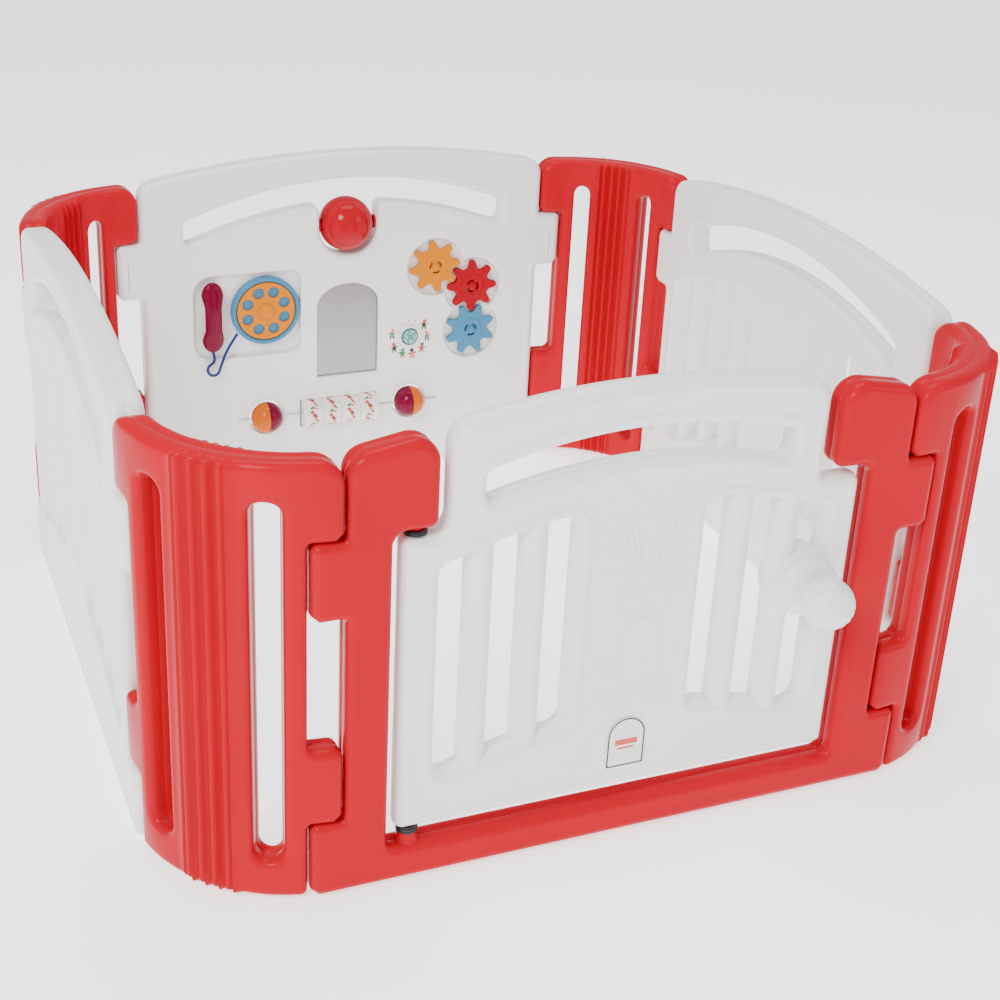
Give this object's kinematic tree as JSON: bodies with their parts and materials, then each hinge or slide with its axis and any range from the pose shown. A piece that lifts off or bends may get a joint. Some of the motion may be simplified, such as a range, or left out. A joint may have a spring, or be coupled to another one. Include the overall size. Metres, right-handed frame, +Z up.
{
  "type": "playpen",
  "caption": "Free-standing child's playpen of flat and curved plastic panels hooked together, with a swinging gate and a wall of toys.",
  "frame": {"origin": "on the floor, in the middle of the object's bounding box", "axes": "+Z up; the gate faces -Y and its knob points that way; +X is to the right of someone facing the gate from outside"},
  "size_m": [1.215, 1.335, 0.65],
  "materials": {
    "red_plastic": "satin, moulded",
    "white_plastic": "satin, moulded",
    "black_nylon": "satin",
    "cream_rubber": "matte, non-slip",
    "yellow_plastic": "glossy",
    "blue_plastic": "glossy",
    "gear_red_plastic": "glossy",
    "magenta_plastic": "glossy",
    "orange_plastic": "glossy",
    "ball_red_plastic": "high gloss",
    "navy_cord": "matte",
    "bright_rod": "polished",
    "mirror_film": "polished",
    "ivory_plastic": "printed with plain shapes",
    "printed_label": "printed film, blank"
  },
  "bodies": {
    "pen": {"gate_frame": "red_plastic", "hinge_bush_top": "black_nylon", "hinge_bush_bottom": "black_nylon", "fence_left": "white_plastic", "fence_right": "white_plastic", "toy_wall": "white_plastic", "foot_pad_front_1": "cream_rubber", "foot_pad_front_2": "cream_rubber", "foot_pad_right_1": "cream_rubber", "foot_pad_right_2": "cream_rubber", "foot_pad_back_1": "cream_rubber", "foot_pad_back_2": "cream_rubber", "foot_pad_left_1": "cream_rubber", "foot_pad_left_2": "cream_rubber", "gear_pin_yellow": "yellow_plastic", "gear_pin_red": "gear_red_plastic", "gear_pin_blue": "blue_plastic", "ball_axle": "ball_red_plastic", "toy_rod": "bright_rod", "phone_base": "blue_plastic", "music_ring": "white_plastic", "mirror": "mirror_film", "handset_cord": "navy_cord"},
    "gate": {"gate_door": "white_plastic", "latch_rose": "white_plastic", "door_label": "printed_label"},
    "latch": {"latch_knob": "white_plastic", "latch_spindle": "white_plastic", "latch_tongue": "white_plastic"},
    "front_left_corner": {"corner_front_left": "red_plastic"},
    "front_right_corner": {"corner_front_right": "red_plastic"},
    "back_right_corner": {"corner_back_right": "red_plastic"},
    "back_left_corner": {"corner_back_left": "red_plastic"},
    "ball": {"spin_ball": "ball_red_plastic"},
    "red_gear": {"gear_red": "gear_red_plastic"},
    "yellow_gear": {"gear_yellow": "yellow_plastic"},
    "blue_gear": {"gear_blue": "blue_plastic"},
    "dial": {"phone_dial": "yellow_plastic", "dial_cap": "yellow_plastic"},
    "receiver": {"handset": "magenta_plastic"},
    "left_spinner": {"spinner_left_orange": "orange_plastic", "spinner_left_magenta": "magenta_plastic"},
    "right_spinner": {"spinner_right_magenta": "magenta_plastic", "spinner_right_orange": "orange_plastic"},
    "roller_1": {"picture_roller_1": "ivory_plastic"},
    "roller_2": {"picture_roller_2": "ivory_plastic"},
    "roller_3": {"picture_roller_3": "ivory_plastic"},
    "roller_4": {"picture_roller_4": "ivory_plastic"},
    "button": {"music_button": "blue_plastic"}
  },
  "joints": [
    {"name": "gate_hinge", "type": "hinge", "parent": "pen", "child": "gate", "pos_m": [-0.294, -0.5525, 0.28], "axis": [0, 0, -1], "range_deg": [0, 100]},
    {"name": "latch_turn", "type": "hinge", "parent": "gate", "child": "latch", "pos_m": [0.24, -0.5525, 0.343], "axis": [0, -1, 0], "range_deg": [0, 90]},
    {"name": "front_left_lift", "type": "slide", "parent": "pen", "child": "front_left_corner", "axis": [0, 0, 1], "range_m": [0, 0.05]},
    {"name": "front_right_lift", "type": "slide", "parent": "pen", "child": "front_right_corner", "axis": [0, 0, 1], "range_m": [0, 0.05]},
    {"name": "back_right_lift", "type": "slide", "parent": "pen", "child": "back_right_corner", "axis": [0, 0, 1], "range_m": [0, 0.05]},
    {"name": "back_left_lift", "type": "slide", "parent": "pen", "child": "back_left_corner", "axis": [0, 0, 1], "range_m": [0, 0.05]},
    {"name": "ball_spin", "type": "hinge", "parent": "pen", "child": "ball", "pos_m": [0, 0.6175, 0.503], "axis": [1, 0, 0], "continuous": true},
    {"name": "red_gear_turn", "type": "hinge", "parent": "pen", "child": "red_gear", "pos_m": [0.249, 0.601, 0.366], "axis": [0, -1, 0], "continuous": true},
    {"name": "yellow_gear_turn", "type": "hinge", "parent": "pen", "child": "yellow_gear", "pos_m": [0.17279, 0.601, 0.41], "axis": [0, -1, 0], "continuous": true},
    {"name": "blue_gear_turn", "type": "hinge", "parent": "pen", "child": "blue_gear", "pos_m": [0.249, 0.601, 0.278], "axis": [0, -1, 0], "continuous": true},
    {"name": "dial_turn", "type": "hinge", "parent": "pen", "child": "dial", "pos_m": [-0.158, 0.595, 0.355], "axis": [0, -1, 0], "continuous": true},
    {"name": "receiver_lift", "type": "slide", "parent": "pen", "child": "receiver", "axis": [0, -1, 0], "range_m": [0, 0.03]},
    {"name": "left_spinner_turn", "type": "hinge", "parent": "pen", "child": "left_spinner", "pos_m": [-0.159, 0.595, 0.1435], "axis": [1, 0, 0], "continuous": true},
    {"name": "right_spinner_turn", "type": "hinge", "parent": "pen", "child": "right_spinner", "pos_m": [0.125, 0.595, 0.1435], "axis": [1, 0, 0], "continuous": true},
    {"name": "roller_1_turn", "type": "hinge", "parent": "pen", "child": "roller_1", "pos_m": [-0.07275, 0.595, 0.1435], "axis": [1, 0, 0], "continuous": true},
    {"name": "roller_2_turn", "type": "hinge", "parent": "pen", "child": "roller_2", "pos_m": [-0.03625, 0.595, 0.1435], "axis": [1, 0, 0], "continuous": true},
    {"name": "roller_3_turn", "type": "hinge", "parent": "pen", "child": "roller_3", "pos_m": [0.00025, 0.595, 0.1435], "axis": [1, 0, 0], "continuous": true},
    {"name": "roller_4_turn", "type": "hinge", "parent": "pen", "child": "roller_4", "pos_m": [0.03675, 0.595, 0.1435], "axis": [1, 0, 0], "continuous": true},
    {"name": "button_press", "type": "slide", "parent": "pen", "child": "button", "axis": [0, 1, 0], "range_m": [0, 0.003], "stiffness_N_per_m": 200}
  ],
  "couplings": [
    {"joint": "yellow_gear_turn", "follows": "red_gear_turn", "ratio": -1},
    {"joint": "blue_gear_turn", "follows": "red_gear_turn", "ratio": -1}
  ]
}
